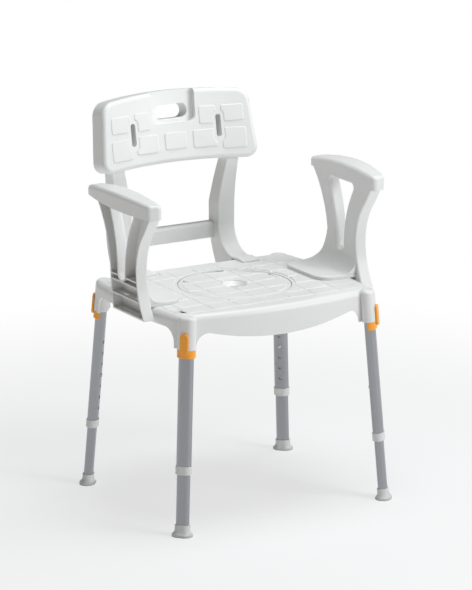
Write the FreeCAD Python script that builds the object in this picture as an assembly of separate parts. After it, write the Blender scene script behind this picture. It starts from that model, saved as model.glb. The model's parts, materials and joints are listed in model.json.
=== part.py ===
import FreeCAD, Part
import math
import os

# Height-adjustable shower chair: a moulded seat shell on four splayed telescopic legs, with a lift-out
# lid in the seat, a lift-off backrest and two lift-off armrests. Millimetres, +Z up, the front faces -Y.
# While it is built, x = 0 and y = 0 is the centre of the seat lid and z = 0 is the floor.

# Seat shell, measured from the centre of the lid
SEAT_HEIGHT = 462.0
SEAT_HALF_WIDTH = 254.0
SEAT_SIDE_BULGE = 15.0
SEAT_FRONT = 202.0
SEAT_FRONT_BULGE = 28.0
SEAT_REAR = 195.0
SEAT_REAR_BULGE = 3.0
SEAT_WALL = 4.0
SEAT_EDGE_RADIUS = 14.0
SEAT_CORNER_RADIUS = 30.0
FRONT_SKIRT_DROP = 62.0
SKIRT_ARCH_DROP = 40.0
SIDE_SKIRT_DROP = 28.0
REAR_SKIRT_DROP = 34.0
ARCH_RADIUS = 28.0

# Corner sockets that hold the legs
SOCKET_DROP = 69.0
SOCKET_WALL = 4.0
SOCKET_ROOF = 12.0
SOCKET_FIT = 0.15
SOCKET_TOP_RADIUS = 8.0

# Lift-out lid and its seat
LID_RADIUS = 121.0
LID_GAP = 1.8
LID_THICKNESS = 5.0
LID_RIB_DEPTH = 12.0
LID_RIB_WALL = 4.0
LID_EDGE_RADIUS = 1.2
LEDGE_WIDTH = 11.0
LEDGE_THICKNESS = 4.0
LID_RIB_GAP = 1.2
SEAT_RIB_LENGTH = 60.0
SEAT_RIBS = 4
COLLAR_DEPTH = 26.0
FINGER_HOLE_RADIUS = 17.0
FINGER_DISH_RADIUS = 27.0
FINGER_DISH_DEPTH = 9.0
FINGER_DISH_WALL = 4.0

# Splayed leg axes: how far inside the seat they start at its top, and how far they spread to the floor
LEG_INSET_FROM_SIDE = 34.5
LEG_INSET_FROM_REAR = 14.7
LEG_SPREAD_SIDEWAYS = 29.5
LEG_SPREAD_LENGTHWAYS = 27.7
TOP_HALF_WIDTH = SEAT_HALF_WIDTH - LEG_INSET_FROM_SIDE
TOP_HALF_DEPTH = SEAT_REAR - LEG_INSET_FROM_REAR
FOOT_HALF_WIDTH = TOP_HALF_WIDTH + LEG_SPREAD_SIDEWAYS
FOOT_HALF_DEPTH = TOP_HALF_DEPTH + LEG_SPREAD_LENGTHWAYS

# Oval leg tubes: the wide way lies across the leg's own diagonal
OUTER_TUBE_WIDTH = 32.0
OUTER_TUBE_DEPTH = 22.0
TUBE_WALL = 1.5
TUBE_CLEARANCE = 0.3
OUTER_TUBE_DROP = 330.0
FOOT_FLOOR = 6.0
INNER_TUBE_ABOVE_BUTTON = 44.0

# Height detents
HOLE_PITCH = 25.0
HOLES_EACH_SIDE = 3
BUTTON_ABOVE_TUBE_END = 115.0
BUTTON_RADIUS = 3.7
BUTTON_PROUD = 2.4
BUTTON_DOME = 1.6
BUTTON_HEAD_RADIUS = 5.6
BUTTON_HEAD_THICKNESS = 1.2
PART_CLEARANCE = 0.3
SPRING_WIDTH = 8.0
SPRING_THICKNESS = 0.8
SPRING_LENGTH = 34.0

# Collar on the outer tube's end, end plug of the inner tube and the foot
COLLAR_HEIGHT = 17.6
COLLAR_WALL = 1.6
COLLAR_LIP = 2.4
PLUG_LENGTH = 16.0
PLUG_HEAD = 2.0
PLUG_WALL = 1.5
FOOT_HEIGHT = 24.0
FOOT_WALL = 2.3
FOOT_BASE_WIDTH = 45.0
FOOT_BASE_DEPTH = 34.0
FOOT_LIP = 4.0
FOOT_WAIST = 15.0
FOOT_FLARE = 8.0
FOOT_SUNK = 4.5

# Lock clip: a ring under the socket with a tab that carries the locking pin
CLIP_HEIGHT = 17.0
CLIP_WALL = 3.6
CLIP_WRAP = 0.59
TAB_WIDTH = 18.0
TAB_HEIGHT = 45.0
TAB_THICKNESS = 4.6
TAB_BELOW_SOCKET = 9.5
TAB_GAP = 0.7
TAB_ROOT_WIDTH = 14.0
LOCK_PIN_RADIUS = 3.5
LOCK_PIN_ABOVE_SOCKET = 17.0
LOCK_PIN_REACH = 4.0

# Backrest panel: a curved, reclined shell, open at the back
PANEL_HEIGHT_ABOVE_SEAT = 288.0
PANEL_BEHIND_LID = 256.0
PANEL_RECLINE = 9.93
PANEL_CURVE_RADIUS = 740.0
PANEL_DEPTH = 48.0
PANEL_WALL = 3.5
PANEL_TOP = 87.5
PANEL_TOP_DROP = 14.0
PANEL_BOTTOM = 69.0
PANEL_BOTTOM_DROP = 10.5
PANEL_TOP_HALF_WIDTH = 182.0
PANEL_LOW_HALF_WIDTH = 196.0
PANEL_TOP_CORNER = 34.0
PANEL_LOW_CORNER = 24.0
PANEL_FRONT_RADIUS = 9.0
GRIP_HALF_WIDTH = 41.0
GRIP_HEIGHT = 31.0
GRIP_CENTRE = 41.5
GRIP_RECESS_DEPTH = 14.0
GRIP_RECESS_HALF_WIDTH = 53.0
GRIP_RECESS_BOTTOM = 17.0
GRIP_RECESS_RADIUS = 13.0
GRIP_RECESS_TOP_FLARE = 4.0
SLOT_OFFSET = 106.0
SLOT_LENGTH = 50.0
SLOT_WIDTH = 12.0
SLOT_WALL = 3.0
GRIP_END_FLAT = 1.0
SLOT_END_FLAT = 0.1
PANEL_RIB_OFFSET = 80.0
PANEL_RIB_INSET = 10.0
UPRIGHT_NOTCH_GAP = 2.0

# Backrest uprights and crossbar
UPRIGHT_INNER = 108.0
UPRIGHT_OUTER = 150.0
UPRIGHT_TOP_INNER = 126.0
UPRIGHT_TOP_OUTER = 158.0
UPRIGHT_FRONT = 254.0
UPRIGHT_DEPTH = 42.0
UPRIGHT_WALL = 3.5
UPRIGHT_TONGUE_TIP = 146.0
UPRIGHT_TONGUE_TOP = 7.0
UPRIGHT_TOE_DROP = 24.0
UPRIGHT_TOP_ABOVE_SEAT = 336.0
BEND_ABOVE_SEAT = 62.0
FLARE_START_ABOVE_SEAT = 110.0
FLARE_END_ABOVE_SEAT = 206.0
FLARE_SAG = 1.5
KINK_ABOVE_SEAT = 228.0
UPRIGHT_KINK_SHIFT = 4.0
UPRIGHT_TOP_DEPTH = 32.0
UPRIGHT_EDGE_RADIUS = 3.0
TONGUE_TIP_HEIGHT = 3.0
TONGUE_SLOPE_RUN = 30.0
BEND_SAG = 20.0
HEEL_RUN = 30.0
PANEL_SCREW_DROP = 30.0
PANEL_SCREW_RISE = 22.0
CROSSBAR_BOTTOM_ABOVE_SEAT = 31.0
CROSSBAR_HEIGHT = 36.0
CROSSBAR_FRONT = 274.0
CROSSBAR_DEPTH = 20.0
CROSSBAR_CHAMFER = 6.0
CROSSBAR_LOW_CHAMFER = 2.4
CROSSBAR_SCREW_INSET = 11.0
CROSSBAR_WALL = 3.0
BOSS_RADIUS = 6.0
SCREW_RADIUS = 2.2
SCREW_HEAD_RADIUS = 4.4
SCREW_HEAD_THICKNESS = 2.6
SCREW_SLOT_WIDTH = 1.0
SCREW_LENGTH = 14.0

# Armrests: a web towards the sitter with flanges that run outwards, a pad on top and a hook at the seat
ARM_SEAT_GAP = 1.0
ARM_FLANGE_DEPTH = 26.0
ARM_PAD_WIDTH = 51.0
ARM_TONGUE_LENGTH = 88.0
ARM_WALL = 3.5
ARM_WEB_INNER = SEAT_HALF_WIDTH + ARM_SEAT_GAP
ARM_FLANGE_OUTER = ARM_WEB_INNER + ARM_FLANGE_DEPTH
ARM_PAD_OUTER = ARM_WEB_INNER + ARM_PAD_WIDTH
ARM_TONGUE_TIP = ARM_WEB_INNER - ARM_TONGUE_LENGTH
ARM_PAD_TOP = 241.0
ARM_PAD_THICKNESS = 30.0
ARM_PAD_EDGE_RADIUS = 8.0
PAD_FRONT_TAPER = 19.0
PAD_REAR_TAPER = 13.0
PAD_NOSE_SKEW = 8.0
PAD_CORNER_RADIUS = 10.0
PAD_FRONT_DROP = 11.0
PAD_REAR_DROP = 12.0
PAD_NOSE_DEPTH = 29.0
PAD_TAIL_DEPTH = 18.0
ARM_PAD_REAR = 112.0
ARM_PAD_FRONT = 148.0
ARM_HOOK_DROP = 20.0
ARM_TONGUE_THICKNESS = 8.0
ARM_TONGUE_FRONT = 80.0
ARM_TONGUE_REAR = 82.0
ARM_TONGUE_RADIUS = 34.0
ARM_TONGUE_EDGE = 2.5
ARM_FLARE_START = 20.0
ARM_FLARE_NECK = 37.0
ARM_FLARE_WAIST = 53.0
ARM_FLARE_HEIGHT = 82.0
ARM_EDGE_RADIUS = 4.0
ARM_HOLE_EDGE_RADIUS = 6.0
ARM_HOLE_CORNER = 9.0
ARM_HOLE_MIDDLE = -12.0
ARM_HOLE_BOTTOM = 47.5
ARM_HOLE_RADIUS = 14.0
ARM_HOLE_TOP = 201.0
ARM_HOLE_FRONT_CURVE = 237.0
ARM_HOLE_REAR_CURVE = 297.0
ARM_END_INSET = 6.0
ARM_WAIST = 77.0
ARM_WAIST_HEIGHT = 78.0
ARM_FOOT_CURVE = 165.0
ARM_NECK_CURVE = 130.0
ARM_NECK_TURN = 42.0
ARM_BLEND_RADIUS = 30.0
ARM_SHELF_ABOVE_SEAT = 13.0
SHELF_SLOT_LENGTH = 26.0
SHELF_SLOT_WIDTH = 8.0
SHELF_SLOT_PITCH = 54.0
SHELF_SLOT_MIDDLE = -35.0
SHELF_RIB_LOW = 42.0
SHELF_RIB_HIGH = 54.0

# Pegs under the armrests and uprights that drop into holes in the seat
PEG_RADIUS = 5.0
PEG_LENGTH = 13.0
PEG_FROM_TIP = 16.0
UPRIGHT_PEG_PITCH = 18.0
PEG_BOSS_WALL = 2.6
PEG_BOSS_DEPTH = 12.0

CORNERS = {
    "front_left": (-1, -1),
    "front_right": (1, -1),
    "rear_left": (-1, 1),
    "rear_right": (1, 1),
}
SIDES = {"left": -1, "right": 1}
UP = FreeCAD.Vector(0, 0, 1)
RIGHT = FreeCAD.Vector(1, 0, 0)
BACK = FreeCAD.Vector(0, 1, 0)
FAR = 900.0


def vec(x, y, z=0.0):
    return FreeCAD.Vector(x, y, z)


def box(low, high):
    size = high.sub(low)
    return Part.makeBox(size.x, size.y, size.z, low)


def fuse(first, *others):
    return first.fuse(list(others)).removeSplitter()


def mirrored(shape):
    return shape.mirror(vec(0, 0), RIGHT)


def outline(path):
    """A closed wire of straight runs and arcs: each item is an end point, or a pair of through and end."""
    edges = []
    start = path[0]
    for step in path[1:]:
        if isinstance(step, tuple):
            edges.append(Part.Arc(start, step[0], step[1]).toShape())
            start = step[1]
        else:
            edges.append(Part.LineSegment(start, step).toShape())
            start = step
    if start.distanceToPoint(path[0]) > 1e-6:
        edges.append(Part.LineSegment(start, path[0]).toShape())
    return Part.Wire(edges)


def slab(wire, direction):
    return Part.Face(wire).extrude(direction)


def edges_along(shape, direction, chosen=lambda edge: True):
    found = []
    for edge in shape.Edges:
        if isinstance(edge.Curve, Part.Line) or isinstance(edge.Curve, Part.LineSegment):
            run = edge.Vertexes[-1].Point.sub(edge.Vertexes[0].Point)
            if run.Length > 1e-6 and abs(abs(run.normalize().dot(direction)) - 1) < 1e-6 and chosen(edge):
                found.append(edge)
    return found


def rounded(shape, edges, radius):
    return shape.makeFillet(radius, edges) if edges else shape


def flat_edges(shape, height):
    """Edges that lie in the horizontal plane at this height."""
    return [e for e in shape.Edges
            if abs(e.BoundBox.ZMax - height) < 1e-4 and abs(e.BoundBox.ZMin - height) < 1e-4]


def oval(width, depth, z):
    """A stadium outline across a leg: wide along its x, narrow along its y."""
    end = depth / 2
    run = width / 2 - end
    return outline([
        vec(-run, -end, z), vec(run, -end, z), (vec(run + end, 0, z), vec(run, end, z)),
        vec(-run, end, z), (vec(-run - end, 0, z), vec(-run, -end, z)),
    ])


def oval_bar(width, depth, low, high):
    return slab(oval(width, depth, low), vec(0, 0, high - low))


def rounded_rectangle(half_x, half_y, radius, z):
    """A closed rounded rectangle about the z axis."""
    corner = radius * (1 - math.sqrt(0.5))
    ix = half_x - radius
    iy = half_y - radius
    return outline([
        vec(-ix, -half_y, z), vec(ix, -half_y, z),
        (vec(half_x - corner, corner - half_y, z), vec(half_x, -iy, z)),
        vec(half_x, iy, z), (vec(half_x - corner, half_y - corner, z), vec(ix, half_y, z)),
        vec(-ix, half_y, z), (vec(corner - half_x, half_y - corner, z), vec(-half_x, iy, z)),
        vec(-half_x, -iy, z), (vec(corner - half_x, corner - half_y, z), vec(-ix, -half_y, z)),
    ])


# ---------------------------------------------------------------- leg geometry

def leg_frame(corner):
    """Placement of one leg: its z runs up the leg from the floor, its y points outwards."""
    side, depth = CORNERS[corner]
    foot = vec(side * FOOT_HALF_WIDTH, depth * FOOT_HALF_DEPTH)
    top = vec(side * TOP_HALF_WIDTH, depth * TOP_HALF_DEPTH, SEAT_HEIGHT)
    axis = top.sub(foot).normalize()
    across = vec(foot.x - top.x, foot.y - top.y).cross(UP).normalize()
    outwards = axis.cross(across)
    turn = FreeCAD.Matrix(
        across.x, outwards.x, axis.x, foot.x,
        across.y, outwards.y, axis.y, foot.y,
        across.z, outwards.z, axis.z, foot.z,
        0, 0, 0, 1,
    )
    return FreeCAD.Placement(turn)


def on_leg(shape, corner):
    placed = shape.copy()
    placed.Placement = leg_frame(corner).multiply(shape.Placement)
    return placed


LEG_LENGTH = vec(FOOT_HALF_WIDTH - TOP_HALF_WIDTH, FOOT_HALF_DEPTH - TOP_HALF_DEPTH, SEAT_HEIGHT).Length
SOCKET_BOTTOM = LEG_LENGTH - SOCKET_DROP
TUBE_END = LEG_LENGTH - OUTER_TUBE_DROP
TUBE_TOP = LEG_LENGTH - SOCKET_ROOF
BUTTON_HEIGHT = TUBE_END + BUTTON_ABOVE_TUBE_END
INNER_TUBE_WIDTH = OUTER_TUBE_WIDTH - 2 * (TUBE_WALL + TUBE_CLEARANCE)
INNER_TUBE_DEPTH = OUTER_TUBE_DEPTH - 2 * (TUBE_WALL + TUBE_CLEARANCE)
INNER_BORE_WIDTH = INNER_TUBE_WIDTH - 2 * TUBE_WALL
INNER_BORE_DEPTH = INNER_TUBE_DEPTH - 2 * TUBE_WALL
INNER_TUBE_TOP = BUTTON_HEIGHT + INNER_TUBE_ABOVE_BUTTON
SOCKET_WIDTH = OUTER_TUBE_WIDTH + 2 * SOCKET_WALL
SOCKET_DEPTH = OUTER_TUBE_DEPTH + 2 * SOCKET_WALL
LOCK_PIN_HEIGHT = SOCKET_BOTTOM + LOCK_PIN_ABOVE_SOCKET


def hole_across(radius, height, near, far):
    """A round bar along a leg's y, from near to far."""
    return Part.makeCylinder(radius, far - near, vec(0, near, height), BACK)


def outer_tube():
    tube = oval_bar(OUTER_TUBE_WIDTH, OUTER_TUBE_DEPTH, TUBE_END, TUBE_TOP)
    bore = oval_bar(OUTER_TUBE_WIDTH - 2 * TUBE_WALL, OUTER_TUBE_DEPTH - 2 * TUBE_WALL, TUBE_END, TUBE_TOP)
    tube = tube.cut(bore)
    for step in range(-HOLES_EACH_SIDE, HOLES_EACH_SIDE + 1):
        height = BUTTON_HEIGHT + step * HOLE_PITCH
        tube = tube.cut(hole_across(BUTTON_RADIUS + PART_CLEARANCE, height, -OUTER_TUBE_DEPTH, 0))
    return tube.cut(hole_across(LOCK_PIN_RADIUS + PART_CLEARANCE, LOCK_PIN_HEIGHT, 0, OUTER_TUBE_DEPTH))


def inner_tube():
    tube = oval_bar(INNER_TUBE_WIDTH, INNER_TUBE_DEPTH, FOOT_FLOOR, INNER_TUBE_TOP)
    bore = oval_bar(INNER_BORE_WIDTH, INNER_BORE_DEPTH, FOOT_FLOOR, INNER_TUBE_TOP)
    hole = hole_across(BUTTON_RADIUS + PART_CLEARANCE, BUTTON_HEIGHT, -OUTER_TUBE_DEPTH, 0)
    return tube.cut(bore).cut(hole)


def tube_collar():
    """Guide sleeve pushed on the outer tube's lower end, with a lip under the tube."""
    low = TUBE_END - COLLAR_LIP
    high = low + COLLAR_HEIGHT
    sleeve = oval_bar(OUTER_TUBE_WIDTH + 2 * COLLAR_WALL, OUTER_TUBE_DEPTH + 2 * COLLAR_WALL, low, high)
    sleeve = rounded(sleeve, flat_edges(sleeve, low) + flat_edges(sleeve, high), COLLAR_WALL / 2)
    sleeve = sleeve.cut(oval_bar(OUTER_TUBE_WIDTH, OUTER_TUBE_DEPTH, TUBE_END, high))
    return sleeve.cut(oval_bar(
        INNER_TUBE_WIDTH + 2 * TUBE_CLEARANCE, INNER_TUBE_DEPTH + 2 * TUBE_CLEARANCE, low, TUBE_END))


def inner_tube_plug():
    """Plastic plug that closes and guides the inner tube's upper end."""
    head = oval_bar(INNER_TUBE_WIDTH, INNER_TUBE_DEPTH, INNER_TUBE_TOP, INNER_TUBE_TOP + PLUG_HEAD)
    low = INNER_TUBE_TOP - PLUG_LENGTH
    stem = oval_bar(INNER_BORE_WIDTH, INNER_BORE_DEPTH, low, INNER_TUBE_TOP)
    core = oval_bar(INNER_BORE_WIDTH - 2 * PLUG_WALL, INNER_BORE_DEPTH - 2 * PLUG_WALL, low, INNER_TUBE_TOP)
    return fuse(head, stem.cut(core))


def foot():
    """Rubber ferrule with a flared, rounded base cut level with the floor."""
    top_width = INNER_TUBE_WIDTH + 2 * FOOT_WALL
    top_depth = INNER_TUBE_DEPTH + 2 * FOOT_WALL
    flare_width = (2 * top_width + FOOT_BASE_WIDTH) / 3
    flare_depth = (2 * top_depth + FOOT_BASE_DEPTH) / 3
    rings = [
        oval(top_width, top_depth, FOOT_WAIST),
        oval(flare_width, flare_depth, FOOT_FLARE),
        oval(FOOT_BASE_WIDTH, FOOT_BASE_DEPTH, FOOT_LIP),
    ]
    skirt = Part.makeLoft(rings, True, False)
    sleeve = oval_bar(top_width, top_depth, FOOT_WAIST, FOOT_HEIGHT)
    sleeve = rounded(sleeve, flat_edges(sleeve, FOOT_HEIGHT), FOOT_WALL / 2)
    base = oval_bar(FOOT_BASE_WIDTH, FOOT_BASE_DEPTH, -FOOT_SUNK, FOOT_LIP)
    solid = fuse(sleeve, skirt, base)
    return solid.cut(oval_bar(INNER_TUBE_WIDTH, INNER_TUBE_DEPTH, FOOT_FLOOR, FOOT_HEIGHT))


def snap_button():
    """Domed steel button whose head sits inside the inner tube."""
    face = -OUTER_TUBE_DEPTH / 2 - BUTTON_PROUD
    wall = -INNER_TUBE_DEPTH / 2 + TUBE_WALL + PART_CLEARANCE
    pin = hole_across(BUTTON_RADIUS, BUTTON_HEIGHT, face, wall + BUTTON_HEAD_THICKNESS)
    rim = [e for e in pin.Edges if abs(e.BoundBox.YMax - face) < 1e-4]
    pin = rounded(pin, rim, BUTTON_DOME)
    return fuse(pin, hole_across(BUTTON_HEAD_RADIUS, BUTTON_HEIGHT, wall, wall + BUTTON_HEAD_THICKNESS))


def button_spring():
    """Bent leaf spring between the button's head and the far wall of the inner tube."""
    near = -INNER_TUBE_DEPTH / 2 + TUBE_WALL + PART_CLEARANCE + BUTTON_HEAD_THICKNESS
    far = INNER_TUBE_DEPTH / 2 - TUBE_WALL
    radius = (far - near) / 2
    bend = BUTTON_HEIGHT - SPRING_LENGTH + radius
    top = BUTTON_HEIGHT + BUTTON_HEAD_RADIUS
    inner = radius - SPRING_THICKNESS
    middle = (far + near) / 2
    wire = outline([
        vec(0, near, top), vec(0, near, bend), (vec(0, middle, bend - radius), vec(0, far, bend)),
        vec(0, far, top), vec(0, far - SPRING_THICKNESS, top), vec(0, far - SPRING_THICKNESS, bend),
        (vec(0, middle, bend - inner), vec(0, near + SPRING_THICKNESS, bend)),
        vec(0, near + SPRING_THICKNESS, top),
    ])
    return slab(wire, vec(SPRING_WIDTH, 0, 0)).translated(vec(-SPRING_WIDTH / 2, 0, 0))


def lock_clip():
    """Spring ring under the socket, with a tab up the socket's outer face and a pin through both walls."""
    high = SOCKET_BOTTOM - PART_CLEARANCE
    low = high - CLIP_HEIGHT
    inner_width = OUTER_TUBE_WIDTH + 2 * PART_CLEARANCE
    inner_depth = OUTER_TUBE_DEPTH + 2 * PART_CLEARANCE
    ring = oval_bar(inner_width + 2 * CLIP_WALL, inner_depth + 2 * CLIP_WALL, low, high)
    ring = rounded(ring, flat_edges(ring, low), CLIP_WALL / 2)
    ring = ring.cut(oval_bar(inner_width, inner_depth, low, high))
    mouth = inner_depth * (0.5 - CLIP_WRAP)
    ring = ring.cut(box(vec(-SOCKET_WIDTH, -SOCKET_DEPTH, low), vec(SOCKET_WIDTH, mouth, high)))
    # the ends of the ring run straight back, so that it slides off the tube
    ring = ring.cut(box(vec(-inner_width / 2, mouth, low), vec(inner_width / 2, 0, high)))
    back = SOCKET_DEPTH / 2 + TAB_GAP
    foot_of_tab = SOCKET_BOTTOM - TAB_BELOW_SOCKET
    half = TAB_WIDTH / 2
    tab = outline([
        vec(-half, back, foot_of_tab + half),
        (vec(0, back, foot_of_tab), vec(half, back, foot_of_tab + half)),
        vec(half, back, foot_of_tab + TAB_HEIGHT - half),
        (vec(0, back, foot_of_tab + TAB_HEIGHT), vec(-half, back, foot_of_tab + TAB_HEIGHT - half)),
    ])
    tab = slab(tab, vec(0, TAB_THICKNESS, 0))
    front_rim = [e for e in tab.Edges if e.BoundBox.YMin > back + TAB_THICKNESS / 2]
    tab = rounded(tab, front_rim, TAB_THICKNESS / 3)
    root_low = vec(-TAB_ROOT_WIDTH / 2, (inner_depth + CLIP_WALL) / 2, foot_of_tab + half / 2)
    root = box(root_low, vec(TAB_ROOT_WIDTH / 2, back, high))
    pin_tip = OUTER_TUBE_DEPTH / 2 - TUBE_WALL - LOCK_PIN_REACH
    pin = hole_across(LOCK_PIN_RADIUS, LOCK_PIN_HEIGHT, pin_tip, back + TAB_THICKNESS / 2)
    return fuse(ring, tab, root, pin)


# ---------------------------------------------------------------- seat

def seat_outline(inset, z):
    """Plan outline of the seat at a distance inside its outer face."""
    side = SEAT_HALF_WIDTH - inset
    front = -SEAT_FRONT + inset
    rear = SEAT_REAR - inset
    corner = side - SEAT_SIDE_BULGE
    near = front + SEAT_FRONT_BULGE
    back = rear - SEAT_REAR_BULGE
    return outline([
        vec(-corner, near, z), (vec(0, front, z), vec(corner, near, z)),
        (vec(side, 0, z), vec(corner, back, z)),
        (vec(0, rear, z), vec(-corner, back, z)), (vec(-side, 0, z), vec(-corner, near, z)),
    ])


def seat_block(inset, low, high, corner_radius, edge_radius):
    block = slab(seat_outline(inset, low), vec(0, 0, high - low))
    block = rounded(block, edges_along(block, UP), corner_radius)
    return rounded(block, flat_edges(block, high), edge_radius)


def skirt_cutter(half_run, floor, arch, drop_mid, reach, across):
    """Space under a skirt: arched up at both ends, with an edge that dips in the middle."""
    bend = min(ARCH_RADIUS, half_run / 4)
    shoulder = half_run - bend
    inside = bend * (1 - math.sqrt(0.5))
    end = vec(shoulder, 0, arch)
    wire = outline([
        vec(-half_run, 0, floor), vec(-half_run, 0, arch - bend),
        (vec(inside - half_run, 0, arch - inside), vec(-shoulder, 0, arch)),
        (vec(0, 0, drop_mid), end) if drop_mid < arch else end,
        (vec(half_run - inside, 0, arch - inside), vec(half_run, 0, arch - bend)), vec(half_run, 0, floor),
    ])
    cutter = slab(wire, vec(0, reach, 0))
    if across:
        cutter.rotate(vec(0, 0), UP, 90)
    return cutter


def socket_at(corner):
    """Oval socket down to the clip, rounded over at the seat's top."""
    bar = on_leg(oval_bar(SOCKET_WIDTH, SOCKET_DEPTH, SOCKET_BOTTOM, LEG_LENGTH + SOCKET_DEPTH), corner)
    bar = bar.cut(box(vec(-FAR, -FAR, SEAT_HEIGHT), vec(FAR, FAR, FAR)))
    return rounded(bar, flat_edges(bar, SEAT_HEIGHT), SOCKET_TOP_RADIUS)


def socket_bore(corner):
    bore = oval_bar(
        OUTER_TUBE_WIDTH + 2 * SOCKET_FIT, OUTER_TUBE_DEPTH + 2 * SOCKET_FIT, SOCKET_BOTTOM - 1, TUBE_TOP)
    pin_hole = hole_across(LOCK_PIN_RADIUS + PART_CLEARANCE, LOCK_PIN_HEIGHT, 0, SOCKET_DEPTH)
    return on_leg(fuse(bore, pin_hole), corner)


def clip_relief(corner):
    """Room beside the socket for the clip's ring and tab, and for the way they slide off outwards."""
    ring_half = SOCKET_WIDTH / 2 + TAB_GAP
    tab_half = TAB_WIDTH / 2 + TAB_GAP
    low = SOCKET_BOTTOM - CLIP_HEIGHT - TAB_GAP
    tab_top = SOCKET_BOTTOM - TAB_BELOW_SOCKET + TAB_HEIGHT + TAB_GAP
    ring = box(vec(-ring_half, -SOCKET_DEPTH, low), vec(ring_half, SOCKET_DEPTH + TAB_HEIGHT, SOCKET_BOTTOM))
    tab = box(vec(-tab_half, SOCKET_DEPTH / 2, low), vec(tab_half, SOCKET_DEPTH + TAB_HEIGHT, tab_top))
    return on_leg(fuse(ring, tab), corner)


def arm_peg_places():
    x = (ARM_TONGUE_TIP + ARM_WEB_INNER) / 2
    middle = (ARM_TONGUE_REAR - ARM_TONGUE_FRONT) / 2
    spread = (ARM_TONGUE_REAR + ARM_TONGUE_FRONT) / 4
    return [vec(x, middle - spread), vec(x, middle + spread)]


def upright_peg_places():
    x = (UPRIGHT_INNER + UPRIGHT_OUTER) / 2
    first = UPRIGHT_TONGUE_TIP + PEG_FROM_TIP
    return [vec(x, first), vec(x, first + UPRIGHT_PEG_PITCH)]


def peg_places():
    right = arm_peg_places() + upright_peg_places()
    return right + [vec(-p.x, p.y) for p in right]


def seat_shell():
    low = SEAT_HEIGHT - SOCKET_DROP
    outer = seat_block(0, low, SEAT_HEIGHT, SEAT_CORNER_RADIUS, SEAT_EDGE_RADIUS)
    inner = seat_block(
        SEAT_WALL, low, SEAT_HEIGHT - SEAT_WALL, SEAT_CORNER_RADIUS - SEAT_WALL, SEAT_EDGE_RADIUS - SEAT_WALL)
    shell = outer.cut(inner)
    under = low - 1
    arch = SEAT_HEIGHT - SKIRT_ARCH_DROP
    front_half = TOP_HALF_WIDTH - SOCKET_WIDTH / 2
    side_half = TOP_HALF_DEPTH - SOCKET_WIDTH / 2
    front = skirt_cutter(front_half, under, arch, SEAT_HEIGHT - FRONT_SKIRT_DROP, SEAT_FRONT + 1, False)
    shell = shell.cut(front.translated(vec(0, -SEAT_FRONT - 1, 0)))
    side_top = SEAT_HEIGHT - SIDE_SKIRT_DROP
    side = skirt_cutter(side_half, under, side_top, side_top, 2 * SEAT_HALF_WIDTH + 2, True)
    shell = shell.cut(side.translated(vec(SEAT_HALF_WIDTH + 1, 0, 0)))
    rear_top = SEAT_HEIGHT - REAR_SKIRT_DROP
    rear = skirt_cutter(front_half, under, rear_top, rear_top, SEAT_REAR + 1, False)
    shell = shell.cut(rear)

    # lid opening with a wall round it and a ledge for the lid
    opening = LID_RADIUS + LID_GAP
    ledge_top = SEAT_HEIGHT - LID_THICKNESS - PART_CLEARANCE
    wall = Part.makeCylinder(opening + SEAT_WALL, COLLAR_DEPTH, vec(0, 0, SEAT_HEIGHT - COLLAR_DEPTH))
    shell = fuse(shell, wall)
    shell = shell.cut(Part.makeCylinder(opening, LID_THICKNESS + 2, vec(0, 0, ledge_top)))
    ledge_low = ledge_top - LEDGE_THICKNESS
    throat = opening - LEDGE_WIDTH
    shell = shell.cut(Part.makeCylinder(throat, COLLAR_DEPTH, vec(0, 0, ledge_top - COLLAR_DEPTH)))
    shell = shell.cut(Part.makeCylinder(opening, FAR, vec(0, 0, ledge_low - FAR)))

    # stiffening ribs from the lid wall to the skirts, under the top
    roof = SEAT_HEIGHT - SEAT_WALL
    ribs = []
    rib_low = vec(opening + SEAT_WALL / 2, -SEAT_WALL / 2, roof - COLLAR_DEPTH + SEAT_WALL)
    for number in range(SEAT_RIBS):
        rib = box(rib_low, vec(opening + SEAT_RIB_LENGTH, SEAT_WALL / 2, roof))
        rib.rotate(vec(0, 0), UP, (number + 0.5) * 360 / SEAT_RIBS)
        ribs.append(rib)
    hole_radius = PEG_RADIUS + PART_CLEARANCE
    for place in peg_places():
        low_end = vec(place.x, place.y, roof - PEG_BOSS_DEPTH)
        ribs.append(Part.makeCylinder(hole_radius + PEG_BOSS_WALL, PEG_BOSS_DEPTH, low_end))
    shell = fuse(shell, *ribs)
    for place in peg_places():
        shell = shell.cut(Part.makeCylinder(hole_radius, FAR, vec(place.x, place.y, SEAT_HEIGHT - FAR / 2)))

    shell = fuse(shell, *[socket_at(corner) for corner in CORNERS])
    for corner in CORNERS:
        shell = shell.cut(socket_bore(corner))
        shell = shell.cut(clip_relief(corner))
    return shell


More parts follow.
